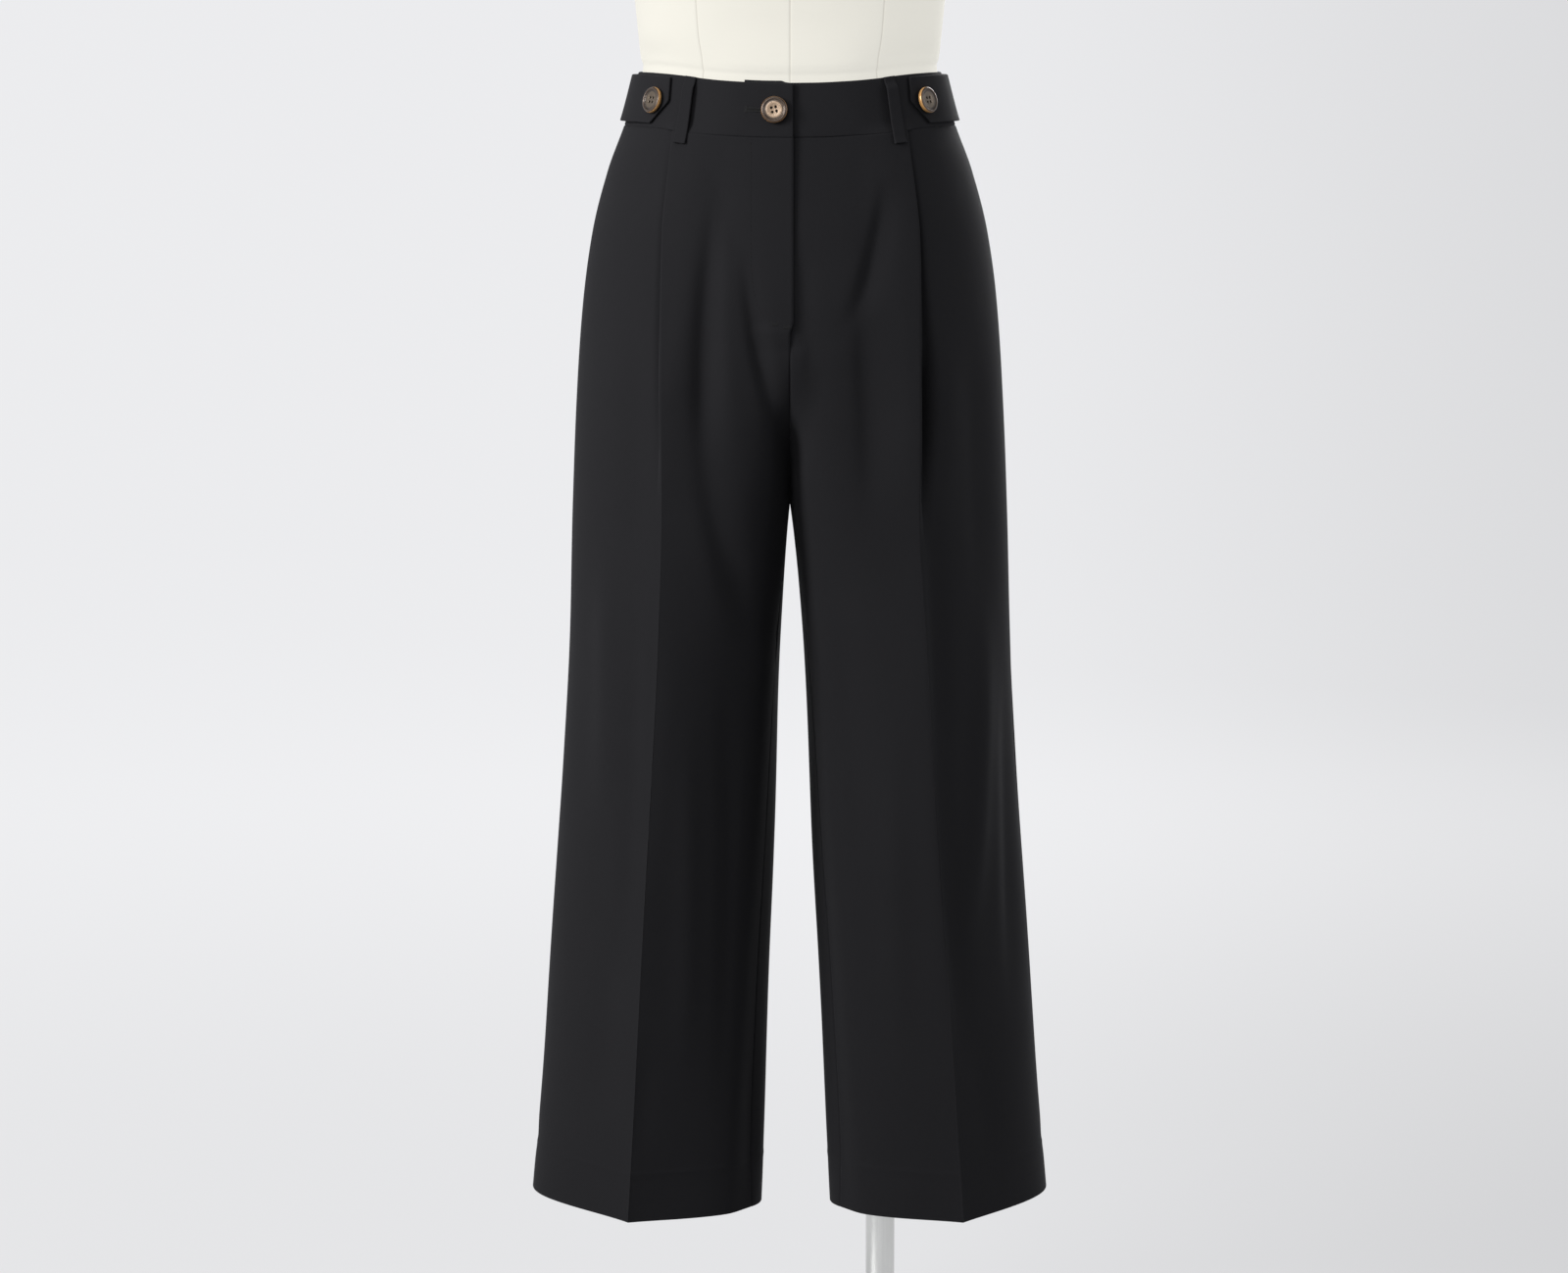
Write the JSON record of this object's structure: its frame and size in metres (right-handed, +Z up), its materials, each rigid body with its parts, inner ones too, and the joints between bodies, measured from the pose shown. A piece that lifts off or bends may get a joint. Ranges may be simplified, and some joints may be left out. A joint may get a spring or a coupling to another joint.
{
  "type": "wide-leg trousers on a dress form",
  "caption": "High-waisted wide-leg trousers with pressed creases, pleated fronts, side tabs and a buttoned waistband, worn by a limbless dress form on a pole and round base.",
  "frame": {"origin": "on the floor, at the middle of the round base's underside", "axes": "+Z up to the form's neck, -Y the way the front of the trousers faces, so +X is the wearer's left, where the pole stands"},
  "size_m": [0.444, 0.444, 1.5613],
  "materials": {
    "trouser_cloth": "fine charcoal suiting, matt with a slight sheen",
    "button_horn": "brown horn-look, polished rim and dull dished face",
    "form_cover": "ivory woven cover, stretched smooth",
    "stand_steel": "brushed",
    "neck_cap_wood": "pale turned wood, satin varnish"
  },
  "bodies": {
    "root": {"front_right": "trouser_cloth", "front_left": "trouser_cloth", "back_right": "trouser_cloth", "back_left": "trouser_cloth", "waistband_right": "trouser_cloth", "waistband_left": "trouser_cloth", "waistband_back": "trouser_cloth", "belt_loop_right": "trouser_cloth", "belt_loop_left": "trouser_cloth", "belt_loop_back": "trouser_cloth", "side_tab_right": "trouser_cloth", "side_tab_left": "trouser_cloth", "button_front": "button_horn", "button_tab_right": "button_horn", "button_tab_left": "button_horn", "form_torso": "form_cover", "form_neck_cap": "neck_cap_wood", "stand_pole": "stand_steel", "stand_collar": "stand_steel", "stand_base": "stand_steel"}
  },
  "joints": []
}
